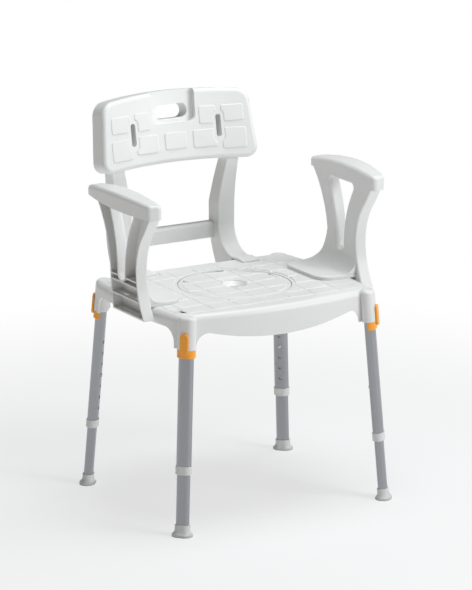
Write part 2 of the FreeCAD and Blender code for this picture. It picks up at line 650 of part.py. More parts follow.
def seat_lid():
    """Round lift-out lid with a rib underneath that drops inside the ledge."""
    low = SEAT_HEIGHT - LID_THICKNESS
    disc = Part.makeCylinder(LID_RADIUS, LID_THICKNESS, vec(0, 0, low))
    disc = rounded(disc, flat_edges(disc, SEAT_HEIGHT), LID_EDGE_RADIUS)
    rib_radius = LID_RADIUS + LID_GAP - LEDGE_WIDTH - LID_RIB_GAP
    rib = Part.makeCylinder(rib_radius, LID_RIB_DEPTH, vec(0, 0, low - LID_RIB_DEPTH))
    rib = rib.cut(Part.makeCylinder(rib_radius - LID_RIB_WALL, LID_RIB_DEPTH, vec(0, 0, low - LID_RIB_DEPTH)))
    wall = FINGER_DISH_WALL
    boss_low = vec(0, 0, SEAT_HEIGHT - FINGER_DISH_DEPTH - wall)
    boss = Part.makeCone(FINGER_HOLE_RADIUS + wall, FINGER_DISH_RADIUS + wall, FINGER_DISH_DEPTH, boss_low)
    lid = fuse(disc, rib, boss)
    dish_low = vec(0, 0, SEAT_HEIGHT - FINGER_DISH_DEPTH)
    dish = Part.makeCone(FINGER_HOLE_RADIUS, FINGER_DISH_RADIUS, FINGER_DISH_DEPTH, dish_low)
    hole = Part.makeCylinder(FINGER_HOLE_RADIUS, FAR, vec(0, 0, SEAT_HEIGHT - FAR / 2))
    return lid.cut(dish).cut(hole)


# ---------------------------------------------------------------- backrest

def panel_frame():
    """Placement of the backrest panel: x to the right, y backwards through it, z up it."""
    turn = FreeCAD.Rotation(RIGHT, -PANEL_RECLINE)
    return FreeCAD.Placement(vec(0, PANEL_BEHIND_LID, SEAT_HEIGHT + PANEL_HEIGHT_ABOVE_SEAT), turn)


def on_panel(shape):
    placed = shape.copy()
    placed.Placement = panel_frame().multiply(shape.Placement)
    return placed


def panel_band(near, far):
    """Curved band between two depths behind the panel's front face."""
    centre = vec(0, -PANEL_CURVE_RADIUS, -FAR / 2)
    outer = Part.makeCylinder(PANEL_CURVE_RADIUS + far, FAR, centre)
    return outer.cut(Part.makeCylinder(PANEL_CURVE_RADIUS + near, FAR, centre))


def panel_front_outline(inset):
    top = PANEL_TOP - inset
    top_side = PANEL_TOP - PANEL_TOP_DROP - inset
    low = -PANEL_BOTTOM + inset
    low_side = low - PANEL_BOTTOM_DROP
    wide_top = PANEL_TOP_HALF_WIDTH - inset
    wide_low = PANEL_LOW_HALF_WIDTH - inset
    return outline([
        vec(-wide_low, 0, low_side), (vec(0, 0, low), vec(wide_low, 0, low_side)), vec(wide_top, 0, top_side),
        (vec(0, 0, top), vec(-wide_top, 0, top_side)),
    ])


def panel_block(inset, near, far, front_radius):
    block = slab(panel_front_outline(inset), vec(0, 2 * FAR, 0)).translated(vec(0, -FAR, 0))
    upper = edges_along(block, BACK, lambda e: e.BoundBox.ZMax > 0)
    block = rounded(block, upper, PANEL_TOP_CORNER - inset)
    lower = edges_along(block, BACK, lambda e: e.BoundBox.ZMax < -PANEL_BOTTOM)
    block = rounded(block, lower, PANEL_LOW_CORNER - inset)
    near_half = box(vec(-FAR / 2, -PANEL_CURVE_RADIUS / 4, -FAR / 2), vec(FAR / 2, FAR / 4, FAR / 2))
    block = block.common(near_half).common(panel_band(near, far))
    front = [e for e in block.Edges if on_cylinder(e, PANEL_CURVE_RADIUS + near)]
    return rounded(block, front, front_radius)


def on_cylinder(edge, radius):
    """True where both ends and the middle of an edge lie on the panel's front surface."""
    first, last = edge.ParameterRange
    for share in (0.0, 0.5, 1.0):
        point = edge.valueAt(first + share * (last - first))
        if abs(math.hypot(point.x, point.y + PANEL_CURVE_RADIUS) - radius) > 1e-3:
            return False
    return True


def slot_bar(x, z, half_x, half_z, radius):
    """A rounded bar through the panel, front to back."""
    bar = slab(rounded_rectangle(half_x, half_z, radius, 0), vec(0, 0, FAR / 2))
    bar.rotate(vec(0, 0), RIGHT, 90)
    return bar.translated(vec(x, FAR / 4, z))


def grip_recess(grow):
    """Finger recess in front of the grip, open at the panel's top."""
    half = GRIP_RECESS_HALF_WIDTH + grow
    low = GRIP_RECESS_BOTTOM - grow
    flare = half + GRIP_RECESS_TOP_FLARE
    high = PANEL_TOP + 2 * PANEL_DEPTH
    wire = outline([vec(-half, 0, low), vec(half, 0, low), vec(flare, 0, high), vec(-flare, 0, high)])
    block = slab(wire, vec(0, 2 * PANEL_DEPTH, 0)).translated(vec(0, -PANEL_DEPTH, 0))
    corners = edges_along(block, BACK, lambda e: e.BoundBox.ZMax < PANEL_TOP)
    block = rounded(block, corners, GRIP_RECESS_RADIUS + grow)
    return block.common(panel_band(-PANEL_DEPTH, GRIP_RECESS_DEPTH + grow))


def upright_front_view(inset):
    """Front view of the right upright: straight below, then flared outwards into the panel."""
    base = SEAT_HEIGHT - UPRIGHT_TOE_DROP - 1
    start = SEAT_HEIGHT + FLARE_START_ABOVE_SEAT
    end = SEAT_HEIGHT + FLARE_END_ABOVE_SEAT
    top = SEAT_HEIGHT + UPRIGHT_TOP_ABOVE_SEAT + 1 - inset
    inner = UPRIGHT_INNER + inset
    outer = UPRIGHT_OUTER - inset
    top_inner = UPRIGHT_TOP_INNER + inset
    top_outer = UPRIGHT_TOP_OUTER - inset
    middle = (start + end) / 2
    wire = outline([
        vec(inner, 0, base), vec(outer, 0, base), vec(outer, 0, start),
        (vec((outer + top_outer) / 2 - FLARE_SAG, 0, middle), vec(top_outer, 0, end)),
        vec(top_outer, 0, top), vec(top_inner, 0, top), vec(top_inner, 0, end),
        (vec((inner + top_inner) / 2 - FLARE_SAG, 0, middle), vec(inner, 0, start)),
    ])
    return slab(wire, vec(0, FAR, 0))


def upright_side_view():
    """Side view of an upright: a tongue on the seat, a bend behind it, and a run up into the panel."""
    seat = SEAT_HEIGHT + PART_CLEARANCE
    tongue = seat + UPRIGHT_TONGUE_TOP
    rear = UPRIGHT_FRONT + UPRIGHT_DEPTH
    toe = SEAT_HEIGHT - UPRIGHT_TOE_DROP
    behind = SEAT_REAR + 2 * PART_CLEARANCE
    bend = SEAT_HEIGHT + BEND_ABOVE_SEAT
    straight = SEAT_HEIGHT + FLARE_START_ABOVE_SEAT
    kink = SEAT_HEIGHT + KINK_ABOVE_SEAT
    top = SEAT_HEIGHT + UPRIGHT_TOP_ABOVE_SEAT
    run = (top - kink) * math.tan(math.radians(PANEL_RECLINE))
    front_kink = UPRIGHT_FRONT - UPRIGHT_KINK_SHIFT
    rear_kink = front_kink + UPRIGHT_TOP_DEPTH
    tip = UPRIGHT_TONGUE_TIP
    return outline([
        vec(0, tip, seat), vec(0, tip, seat + TONGUE_TIP_HEIGHT), vec(0, tip + TONGUE_SLOPE_RUN, tongue),
        (vec(0, UPRIGHT_FRONT - BEND_SAG, seat + BEND_SAG), vec(0, UPRIGHT_FRONT, bend)),
        vec(0, UPRIGHT_FRONT, straight), vec(0, front_kink, kink), vec(0, front_kink + run, top),
        vec(0, rear_kink + run, top), vec(0, rear_kink, kink), vec(0, rear, straight), vec(0, rear, bend),
        (vec(0, rear - BEND_SAG / 2, seat + BEND_SAG), vec(0, rear - HEEL_RUN, toe)), vec(0, behind, toe),
        vec(0, behind, seat),
    ])


def panel_screw_places():
    """Places on the right upright's front wall where screws go into the panel, in the panel's frame."""
    x = (UPRIGHT_TOP_INNER + UPRIGHT_TOP_OUTER) / 2
    return [vec(x, 0, -PANEL_SCREW_DROP), vec(x, 0, PANEL_SCREW_RISE)]


def upright_hollow():
    """Room inside the upright's channel, open at the back and closed over the seat."""
    inside = slab(upright_side_view().makeOffset2D(-UPRIGHT_WALL), vec(FAR, 0, 0))
    opened = fuse(inside, inside.translated(vec(0, 3 * UPRIGHT_WALL, 0)))
    behind_seat = box(vec(0, SEAT_REAR + 2 * PART_CLEARANCE + UPRIGHT_WALL, 0), vec(FAR, FAR, FAR))
    return opened.common(upright_front_view(UPRIGHT_WALL)).common(behind_seat)


def upright_right():
    body = slab(upright_side_view(), vec(FAR, 0, 0)).common(upright_front_view(0))
    front = edges_facing_front(body)
    body = rounded(body, front, UPRIGHT_EDGE_RADIUS)
    shell = body.cut(upright_hollow())
    pegs = [peg_at(place) for place in upright_peg_places()]
    shell = fuse(shell, *pegs)
    for place in panel_screw_places():
        shell = shell.cut(on_panel(Part.makeCylinder(SCREW_RADIUS, PANEL_DEPTH, place, BACK)))
    for height in crossbar_screw_heights():
        start = vec(UPRIGHT_INNER, crossbar_middle(), height)
        shell = shell.cut(Part.makeCylinder(SCREW_RADIUS, UPRIGHT_WALL, start, RIGHT))
    return shell


def edges_facing_front(body):
    """The long edges at both sides of the upright's front and tongue."""
    found = []
    for edge in body.Edges:
        first, last = edge.ParameterRange
        middle = edge.valueAt((first + last) / 2)
        reach = edge.BoundBox
        along = reach.YLength + reach.ZLength > UPRIGHT_KINK_SHIFT + UPRIGHT_TONGUE_TOP
        between = SEAT_HEIGHT + 1 < middle.z < SEAT_HEIGHT + UPRIGHT_TOP_ABOVE_SEAT - 1
        if along and between and middle.y < UPRIGHT_FRONT + UPRIGHT_TOP_DEPTH / 2 - UPRIGHT_EDGE_RADIUS:
            found.append(edge)
    return found


def peg_at(place):
    return Part.makeCylinder(PEG_RADIUS, PEG_LENGTH, vec(place.x, place.y, SEAT_HEIGHT + 1 - PEG_LENGTH))


def crossbar_middle():
    return CROSSBAR_FRONT + CROSSBAR_DEPTH / 2


def crossbar_screw_heights():
    low = SEAT_HEIGHT + CROSSBAR_BOTTOM_ABOVE_SEAT
    return [low + CROSSBAR_SCREW_INSET, low + CROSSBAR_HEIGHT - CROSSBAR_SCREW_INSET]


def crossbar_section(inset, rear_grow):
    low = SEAT_HEIGHT + CROSSBAR_BOTTOM_ABOVE_SEAT + inset
    high = SEAT_HEIGHT + CROSSBAR_BOTTOM_ABOVE_SEAT + CROSSBAR_HEIGHT - inset
    front = CROSSBAR_FRONT + inset
    rear = CROSSBAR_FRONT + CROSSBAR_DEPTH + rear_grow
    return outline([
        vec(0, front, low + CROSSBAR_LOW_CHAMFER), vec(0, front, high - CROSSBAR_CHAMFER),
        vec(0, front + CROSSBAR_CHAMFER, high), vec(0, rear, high), vec(0, rear, low),
        vec(0, front + CROSSBAR_LOW_CHAMFER, low),
    ])


def back_crossbar():
    """Channel between the uprights, open at the back, with a boss at each end for its screws."""
    half = UPRIGHT_INNER
    bar = slab(crossbar_section(0, 0), vec(2 * half, 0, 0)).translated(vec(-half, 0, 0))
    pocket = slab(crossbar_section(CROSSBAR_WALL, 1), vec(2 * (half - SCREW_LENGTH), 0, 0))
    bar = bar.cut(pocket.translated(vec(SCREW_LENGTH - half, 0, 0)))
    for height in crossbar_screw_heights():
        for side in SIDES.values():
            end = vec(side * half, crossbar_middle(), height)
            bar = bar.cut(Part.makeCylinder(SCREW_RADIUS, SCREW_LENGTH - UPRIGHT_WALL, end, vec(-side, 0)))
    return bar


def screw(length):
    """Pan-head screw along +y, its head at y = 0 and its point at y = -length."""
    head = Part.makeCylinder(SCREW_HEAD_RADIUS, SCREW_HEAD_THICKNESS, vec(0, 0), BACK)
    rim = [e for e in head.Edges if e.BoundBox.YMin > SCREW_HEAD_THICKNESS / 2]
    head = rounded(head, rim, SCREW_HEAD_THICKNESS / 2)
    shank = Part.makeCylinder(SCREW_RADIUS, length, vec(0, -length), BACK)
    half_slot = SCREW_SLOT_WIDTH / 2
    drive = box(vec(-SCREW_RADIUS, SCREW_HEAD_THICKNESS / 2, -half_slot),
                vec(SCREW_RADIUS, SCREW_HEAD_THICKNESS, half_slot))
    cross = drive.copy()
    cross.rotate(vec(0, 0), BACK, 90)
    return fuse(head, shank).cut(drive).cut(cross)


def upright_front_depth():
    """Depth of the upright's front face behind the panel's origin plane, along the screws."""
    lean = math.tan(math.radians(PANEL_RECLINE))
    rise = PANEL_HEIGHT_ABOVE_SEAT - KINK_ABOVE_SEAT
    front_at_origin = UPRIGHT_FRONT - UPRIGHT_KINK_SHIFT + rise * lean - PANEL_BEHIND_LID
    return front_at_origin * math.cos(math.radians(PANEL_RECLINE))


def grip_slot(grow):
    """The hand slot through the panel, or its wall where grow is the wall."""
    end = GRIP_HEIGHT / 2 - GRIP_END_FLAT + grow
    return slot_bar(0, GRIP_CENTRE, GRIP_HALF_WIDTH + grow, GRIP_HEIGHT / 2 + grow, end)


def back_slot(side, grow):
    end = SLOT_WIDTH / 2 - SLOT_END_FLAT + grow
    return slot_bar(side * SLOT_OFFSET, 0, SLOT_WIDTH / 2 + grow, SLOT_LENGTH / 2 + grow, end)


def panel_rib(side):
    middle = side * PANEL_RIB_OFFSET
    low = vec(middle - PANEL_WALL / 2, 0, -FAR / 4)
    return box(low, vec(middle + PANEL_WALL / 2, PANEL_DEPTH - PANEL_RIB_INSET, FAR / 4))


def panel_screw_post(side, place):
    """Post from the panel's front to the upright, that one screw goes into."""
    length = PANEL_DEPTH + upright_front_depth()
    return Part.makeCylinder(BOSS_RADIUS, length, vec(side * place.x, -PANEL_DEPTH, place.z), BACK)


def panel_screw_hole(side, place):
    length = SCREW_LENGTH - UPRIGHT_WALL
    start = vec(side * place.x, upright_front_depth() - length, place.z)
    return Part.makeCylinder(SCREW_RADIUS, length, start, BACK)


def back_panel():
    outer = panel_block(0, 0, PANEL_DEPTH, PANEL_FRONT_RADIUS)
    inner = panel_block(PANEL_WALL, PANEL_WALL, PANEL_DEPTH + 2, PANEL_FRONT_RADIUS - PANEL_WALL)
    walls = [grip_recess(PANEL_WALL), grip_slot(SLOT_WALL)]
    for side in SIDES.values():
        walls += [back_slot(side, SLOT_WALL), panel_rib(side)]
        walls += [panel_screw_post(side, place) for place in panel_screw_places()]
    shell = fuse(outer.cut(inner), *[wall.common(outer) for wall in walls])
    shell = shell.cut(grip_recess(0)).cut(grip_slot(0))
    for side in SIDES.values():
        shell = shell.cut(back_slot(side, 0))
        for place in panel_screw_places():
            shell = shell.cut(panel_screw_hole(side, place))
    notch = upright_notch()
    return on_panel(shell).cut(notch).cut(mirrored(notch))


def upright_notch():
    """Room for the right upright through the panel's lower rim."""
    top = SEAT_HEIGHT + PANEL_HEIGHT_ABOVE_SEAT - PANEL_BOTTOM / 2
    front = UPRIGHT_FRONT - UPRIGHT_KINK_SHIFT - UPRIGHT_NOTCH_GAP
    low = vec(UPRIGHT_TOP_INNER - 2 * PART_CLEARANCE, front, SEAT_HEIGHT)
    return box(low, vec(UPRIGHT_TOP_OUTER + 2 * PART_CLEARANCE, FAR, top))


def back_panel_screws():
    screws = []
    for side in SIDES.values():
        for place in panel_screw_places():
            seat = vec(side * place.x, upright_front_depth() + UPRIGHT_WALL, place.z)
            screws.append(on_panel(screw(SCREW_LENGTH).translated(seat)))
    return Part.makeCompound(screws)


def crossbar_screws():
    screws = []
    for side in SIDES.values():
        for height in crossbar_screw_heights():
            one = screw(SCREW_LENGTH)
            one.rotate(vec(0, 0), UP, -90 * side)
            seat = vec(side * (UPRIGHT_INNER + UPRIGHT_WALL), crossbar_middle(), height)
            screws.append(one.translated(seat))
    return Part.makeCompound(screws)


# ---------------------------------------------------------------- armrests

def arm_outline():
    """Side view of an armrest: y along the seat, z from the seat's top."""
    def at(y, height):
        return vec(0, y, SEAT_HEIGHT + height)
    top = ARM_PAD_TOP - ARM_PAD_THICKNESS
    rear = ARM_PAD_REAR - ARM_END_INSET
    front = -ARM_PAD_FRONT + ARM_END_INSET
    foot_front = -ARM_WAIST - arc_sag(ARM_FOOT_CURVE, ARM_WAIST_HEIGHT + ARM_HOOK_DROP)
    foot_middle = -ARM_WAIST - arc_sag(ARM_FOOT_CURVE, (ARM_WAIST_HEIGHT + ARM_HOOK_DROP) / 2)
    neck = []
    for turn in (math.radians(ARM_NECK_TURN / 2), math.radians(ARM_NECK_TURN)):
        back = ARM_NECK_CURVE * (1 - math.cos(turn))
        neck.append(at(-ARM_WAIST - back, ARM_WAIST_HEIGHT + ARM_NECK_CURVE * math.sin(turn)))
    return outline([
        at(rear, top + ARM_END_INSET), (at(51, 131), at(36, 48)), at(26, -ARM_HOOK_DROP),
        at(foot_front, -ARM_HOOK_DROP),
        (at(foot_middle, (ARM_WAIST_HEIGHT - ARM_HOOK_DROP) / 2), at(-ARM_WAIST, ARM_WAIST_HEIGHT)),
        (neck[0], neck[1]), at(front, top), at(front + ARM_END_INSET / 2, top + 2 * ARM_END_INSET),
        at(rear, top + 2 * ARM_END_INSET),
    ])


def arc_sag(radius, run):
    """How far a circle falls away from its tangent after a run along that tangent."""
    return radius - math.sqrt(radius ** 2 - run ** 2)


def arm_hole():
    """Side view of the V-shaped opening under the pad: a round bottom, and sides that curve apart."""
    def at(y, height):
        return vec(0, y, SEAT_HEIGHT + height)
    low = ARM_HOLE_BOTTOM + ARM_HOLE_RADIUS
    middle = (low + ARM_HOLE_TOP) / 2
    front = ARM_HOLE_MIDDLE - ARM_HOLE_RADIUS
    rear = ARM_HOLE_MIDDLE + ARM_HOLE_RADIUS
    front_top = front - arc_sag(ARM_HOLE_FRONT_CURVE, ARM_HOLE_TOP - low)
    front_middle = front - arc_sag(ARM_HOLE_FRONT_CURVE, middle - low)
    rear_top = rear + arc_sag(ARM_HOLE_REAR_CURVE, ARM_HOLE_TOP - low)
    rear_middle = rear + arc_sag(ARM_HOLE_REAR_CURVE, middle - low)
    return outline([
        at(rear_top, ARM_HOLE_TOP), at(front_top, ARM_HOLE_TOP), (at(front_middle, middle), at(front, low)),
        (at(ARM_HOLE_MIDDLE, ARM_HOLE_BOTTOM), at(rear, low)),
        (at(rear_middle, middle), at(rear_top, ARM_HOLE_TOP)),
    ])


def arm_bar(wire, near, far):
    return slab(wire, vec(far - near, 0, 0)).translated(vec(near, 0, 0))


def arm_pad():
    """Crowned pad, straight towards the sitter and bulged outwards, with rounded edges."""
    inner = ARM_WEB_INNER
    plan = outline([
        vec(inner, -ARM_PAD_FRONT), vec(ARM_PAD_OUTER - PAD_FRONT_TAPER, PAD_NOSE_SKEW - ARM_PAD_FRONT),
        (vec(ARM_PAD_OUTER, 0), vec(ARM_PAD_OUTER - PAD_REAR_TAPER, ARM_PAD_REAR)), vec(inner, ARM_PAD_REAR),
    ])
    block = slab(plan, vec(0, 0, FAR))
    block = rounded(block, edges_along(block, UP), PAD_CORNER_RADIUS)
    top = SEAT_HEIGHT + ARM_PAD_TOP
    nose = top - PAD_FRONT_DROP
    tail = top - PAD_REAR_DROP
    front = -ARM_PAD_FRONT - 1
    rear = ARM_PAD_REAR + 1
    side = outline([
        vec(0, front, nose - PAD_NOSE_DEPTH), vec(0, front, nose),
        (vec(0, (front + rear) / 2, top), vec(0, rear, tail)),
        vec(0, rear, tail - PAD_TAIL_DEPTH),
    ])
    pad = block.common(arm_bar(side, inner - 1, ARM_PAD_OUTER + 1))
    high = top - PAD_FRONT_DROP - PAD_REAR_DROP
    crown = [e for e in pad.Edges if e.BoundBox.ZMin > high and e.BoundBox.DiagonalLength > PAD_CORNER_RADIUS]
    return rounded(pad, crown, ARM_PAD_EDGE_RADIUS)


def arm_flare(front):
    """Side view of the web's foot, which spreads rearwards into the tongue."""
    low = SEAT_HEIGHT + PART_CLEARANCE
    high = SEAT_HEIGHT + ARM_FLARE_HEIGHT
    rear = ARM_TONGUE_REAR
    return outline([
        vec(0, front, low), vec(0, rear, low), vec(0, rear, low + ARM_TONGUE_THICKNESS),
        (vec(0, ARM_FLARE_WAIST, SEAT_HEIGHT + ARM_FLARE_HEIGHT / 2), vec(0, ARM_FLARE_NECK, high)),
        vec(0, front, high),
    ])


def arm_tongue():
    """Paddle that lies on the seat, with a wide concave blend up to the web."""
    low = SEAT_HEIGHT + PART_CLEARANCE
    top = low + ARM_TONGUE_THICKNESS
    paddle = box(vec(ARM_TONGUE_TIP, -ARM_TONGUE_FRONT, low), vec(ARM_WEB_INNER, ARM_TONGUE_REAR, top))
    tip = edges_along(paddle, UP, lambda e: e.BoundBox.XMax < ARM_TONGUE_TIP + 1)
    paddle = rounded(paddle, tip, ARM_TONGUE_RADIUS)
    rim = [e for e in flat_edges(paddle, top) if e.BoundBox.XMin < ARM_WEB_INNER - 1]
    paddle = rounded(paddle, rim, ARM_TONGUE_EDGE)
    reach = ARM_BLEND_RADIUS
    bulge = reach * (1 - math.sqrt(0.5))
    section = outline([
        vec(ARM_WEB_INNER, 0, top), vec(ARM_WEB_INNER, 0, top + reach),
        (vec(ARM_WEB_INNER - bulge, 0, top + bulge), vec(ARM_WEB_INNER - reach, 0, top)),
    ])
    section.translate(vec(0, -ARM_TONGUE_FRONT))
    blend = slab(section, vec(0, ARM_TONGUE_FRONT + ARM_TONGUE_REAR, 0))
    side = arm_bar(arm_flare(-ARM_TONGUE_FRONT), ARM_TONGUE_TIP, ARM_WEB_INNER)
    plate = arm_bar(arm_flare(ARM_FLARE_START), ARM_WEB_INNER, ARM_WEB_INNER + ARM_WALL)
    return fuse(paddle, blend.common(side), plate)


def arm_pocket():
    """Room between the web's flanges, open outwards, less the shelf and its ribs."""
    inside = Part.Face(arm_outline().makeOffset2D(-ARM_WALL))
    rim = Part.Face(arm_hole().makeOffset2D(ARM_WALL))
    pocket = inside.cut(rim).extrude(vec(ARM_FLANGE_OUTER - ARM_WEB_INNER, 0, 0))
    pocket.translate(vec(ARM_WEB_INNER + ARM_WALL, 0))
    low = vec(ARM_WEB_INNER, -ARM_PAD_FRONT, SEAT_HEIGHT)
    high = vec(ARM_FLANGE_OUTER, ARM_PAD_REAR, SEAT_HEIGHT + ARM_WALL)
    for height in (ARM_SHELF_ABOVE_SEAT, SHELF_RIB_LOW, SHELF_RIB_HIGH):
        pocket = pocket.cut(box(low, high).translated(vec(0, 0, height)))
    return pocket


def shelf_slots():
    """Two slots through the shelf, one behind the other."""
    shelf = SEAT_HEIGHT + ARM_SHELF_ABOVE_SEAT
    inner = (ARM_WEB_INNER + ARM_WALL + ARM_FLANGE_OUTER - SHELF_SLOT_WIDTH) / 2
    slots = []
    for middle in (SHELF_SLOT_MIDDLE - SHELF_SLOT_PITCH / 2, SHELF_SLOT_MIDDLE + SHELF_SLOT_PITCH / 2):
        low = vec(inner, middle - SHELF_SLOT_LENGTH / 2, shelf)
        slots.append(box(low, low.add(vec(SHELF_SLOT_WIDTH, SHELF_SLOT_LENGTH, ARM_WALL))))
    return slots


def armrest_right():
    web = arm_bar(arm_outline(), ARM_WEB_INNER, ARM_FLANGE_OUTER)
    hook = SEAT_HEIGHT - ARM_HOOK_DROP
    sitter_side = [e for e in web.Edges if e.BoundBox.XMax < ARM_WEB_INNER + 1 and e.BoundBox.ZMax > hook + 1]
    web = rounded(web, sitter_side, ARM_EDGE_RADIUS)
    hole = arm_bar(arm_hole(), ARM_WEB_INNER, ARM_FLANGE_OUTER)
    high_corners = edges_along(hole, RIGHT, lambda e: e.BoundBox.ZMin > SEAT_HEIGHT + ARM_FLARE_HEIGHT)
    hole = rounded(hole, high_corners, ARM_HOLE_CORNER)
    web = web.cut(hole)
    reach = hole.BoundBox
    reach.enlarge(ARM_SEAT_GAP)
    rim = [e for e in web.Edges if reach.isInside(e.BoundBox) and e.BoundBox.XMax < ARM_WEB_INNER + 1]
    web = rounded(web, rim, ARM_HOLE_EDGE_RADIUS)
    solid = fuse(web, arm_pad()).cut(arm_pocket())
    for slot in shelf_slots():
        solid = solid.cut(slot)
    pegs = [peg_at(place) for place in arm_peg_places()]
    return fuse(solid, arm_tongue(), *pegs)


def build():
    """Every node of the chair, by name, still centred on the seat lid."""
    nodes = {"seat_shell": seat_shell(), "seat_lid": seat_lid(), "back_panel": back_panel()}
    right = upright_right()
    nodes["back_upright_right"] = right
    nodes["back_upright_left"] = mirrored(right)
    nodes["back_crossbar"] = back_crossbar()
    nodes["back_panel_screws"] = back_panel_screws()
    nodes["crossbar_screws"] = crossbar_screws()
    arm = armrest_right()
    nodes["armrest_right"] = arm
    nodes["armrest_left"] = mirrored(arm)
    floor = box(vec(-FAR, -FAR, 0), vec(FAR, FAR, FAR))
    pieces = {
        "outer_tube": outer_tube(),
        "tube_collar": tube_collar(),
        "inner_tube": inner_tube(),
        "inner_tube_plug": inner_tube_plug(),
        "snap_button": snap_button(),
        "button_spring": button_spring(),
        "lock_clip": lock_clip(),
        "foot": foot(),
    }
    for corner in CORNERS:
        for name, piece in pieces.items():
            placed = on_leg(piece, corner)
            nodes[f"{name}_{corner}"] = placed.common(floor) if name == "foot" else placed
    return nodes


def middle_of(nodes):
    """The y of the middle of everything's bounding box."""
    reach = [shape.optimalBoundingBox(True, False) for shape in nodes.values()]
    return (min(r.YMin for r in reach) + max(r.YMax for r in reach)) / 2


def export(nodes):
    os.makedirs("parts", exist_ok=True)
    shift = vec(0, -middle_of(nodes))
    for name, shape in nodes.items():
        shape.translated(shift).exportStep(f"parts/{name}.step")


export(build())
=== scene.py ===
import bpy
import json
import math
from mathutils import Matrix, Vector

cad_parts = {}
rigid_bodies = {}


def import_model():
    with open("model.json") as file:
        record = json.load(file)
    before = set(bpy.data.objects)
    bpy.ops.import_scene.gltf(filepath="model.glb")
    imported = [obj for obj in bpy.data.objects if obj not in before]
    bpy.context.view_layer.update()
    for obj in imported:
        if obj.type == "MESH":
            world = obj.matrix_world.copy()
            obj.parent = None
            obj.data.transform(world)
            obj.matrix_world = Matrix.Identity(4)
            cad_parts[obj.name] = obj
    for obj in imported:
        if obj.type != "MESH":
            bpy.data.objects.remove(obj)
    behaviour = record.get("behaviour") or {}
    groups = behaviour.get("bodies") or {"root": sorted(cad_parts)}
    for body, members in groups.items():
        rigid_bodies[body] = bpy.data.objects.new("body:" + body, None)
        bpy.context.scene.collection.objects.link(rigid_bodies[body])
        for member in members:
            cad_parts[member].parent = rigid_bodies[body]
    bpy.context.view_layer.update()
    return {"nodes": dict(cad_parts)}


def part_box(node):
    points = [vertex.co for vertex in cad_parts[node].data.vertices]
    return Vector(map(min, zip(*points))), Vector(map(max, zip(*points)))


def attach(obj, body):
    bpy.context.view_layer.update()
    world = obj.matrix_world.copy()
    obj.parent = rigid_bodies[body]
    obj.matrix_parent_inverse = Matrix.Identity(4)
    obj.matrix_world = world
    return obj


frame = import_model()


# The seat shell: one injection moulding in off-white polypropylene, with four corner sockets, skirts and an
# opening for the lid. Its plastic has a very fine spark-eroded grain. The lid, the backrest and the armrests
# are moulded in the same plastic, so its material is made here.
class Signal:
    """A number or colour that runs along a material's nodes."""

    def __init__(self, tree, socket):
        self.tree = tree
        self.socket = socket

    def node(self, kind, settings=None, inputs=None):
        made = self.tree.nodes.new(kind)
        for name, value in (settings or {}).items():
            setattr(made, name, value)
        for name, value in (inputs or {}).items():
            if isinstance(value, Signal):
                self.tree.links.new(value.socket, made.inputs[name])
            else:
                made.inputs[name].default_value = value
        return made

    def out(self, kind, settings=None, inputs=None, output=0):
        return Signal(self.tree, self.node(kind, settings, inputs).outputs[output])

    def maths(self, operation, first, second=0.0):
        return self.out("ShaderNodeMath", {"operation": operation}, {0: first, 1: second})

    def __add__(self, other):
        return self.maths("ADD", self, other)

    def __mul__(self, other):
        return self.maths("MULTIPLY", self, other)

    __radd__ = __add__
    __rmul__ = __mul__


def new_material(name, **constants):
    """A principled material with its constant values set, and a signal of its object coordinates."""
    material = bpy.data.materials.new(name)
    material.use_nodes = True
    tree = material.node_tree
    shader = next(n for n in tree.nodes if n.type == "BSDF_PRINCIPLED")
    for socket, value in constants.items():
        shader.inputs[socket.replace("_", " ")].default_value = value
    place = Signal(tree, None).out("ShaderNodeTexCoord", output="Object")
    return material, shader, place


def join_to(shader, socket, signal):
    signal.tree.links.new(signal.socket, shader.inputs[socket])


def noise(place, scale, detail=3.0, roughness=0.5):
    inputs = {"Vector": place, "Scale": scale, "Detail": detail, "Roughness": roughness}
    return place.out("ShaderNodeTexNoise", {"noise_dimensions": "3D"}, inputs)


def tint(place, factor, dark, light):
    """A colour between two others."""
    inputs = {0: factor, 6: (*dark, 1.0), 7: (*light, 1.0)}
    return place.out("ShaderNodeMix", {"data_type": "RGBA"}, inputs, output=2)


def bump(place, strength, distance, height):
    inputs = {"Strength": strength, "Distance": distance, "Height": height}
    return place.out("ShaderNodeBump", {}, inputs)


def moulded_plastic(name, dark, light, roughness):
    """Injection-moulded plastic: faint clouding in its colour, flow marks in its gloss, and a fine grain."""
    material, shader, place = new_material(name, IOR=1.49)
    clouds = noise(place, 9.0, 4.0)
    flow = noise(place, 35.0, 2.0)
    grain = noise(place, 1400.0, 2.0, 0.6)
    pebble = noise(place, 420.0, 1.0)
    join_to(shader, "Base Color", tint(place, clouds, dark, light))
    join_to(shader, "Roughness", flow * 0.10 + (roughness - 0.05))
    height = grain * 0.4 + pebble * 0.6
    join_to(shader, "Normal", bump(place, 0.22, 0.00012, height))
    return material


def coat(piece, material):
    """Makes a material the only finish of a piece."""
    piece.data.materials.clear()
    piece.data.materials.append(material)


def dress(node, material):
    """Gives a carried-over part its finish."""
    coat(frame["nodes"][node], material)


WHITE_DARK = (0.730, 0.735, 0.725)
WHITE_LIGHT = (0.800, 0.800, 0.790)
WHITE_ROUGHNESS = 0.42
white_plastic = moulded_plastic("white_polypropylene", WHITE_DARK, WHITE_LIGHT, WHITE_ROUGHNESS)
dress("seat_shell", white_plastic)


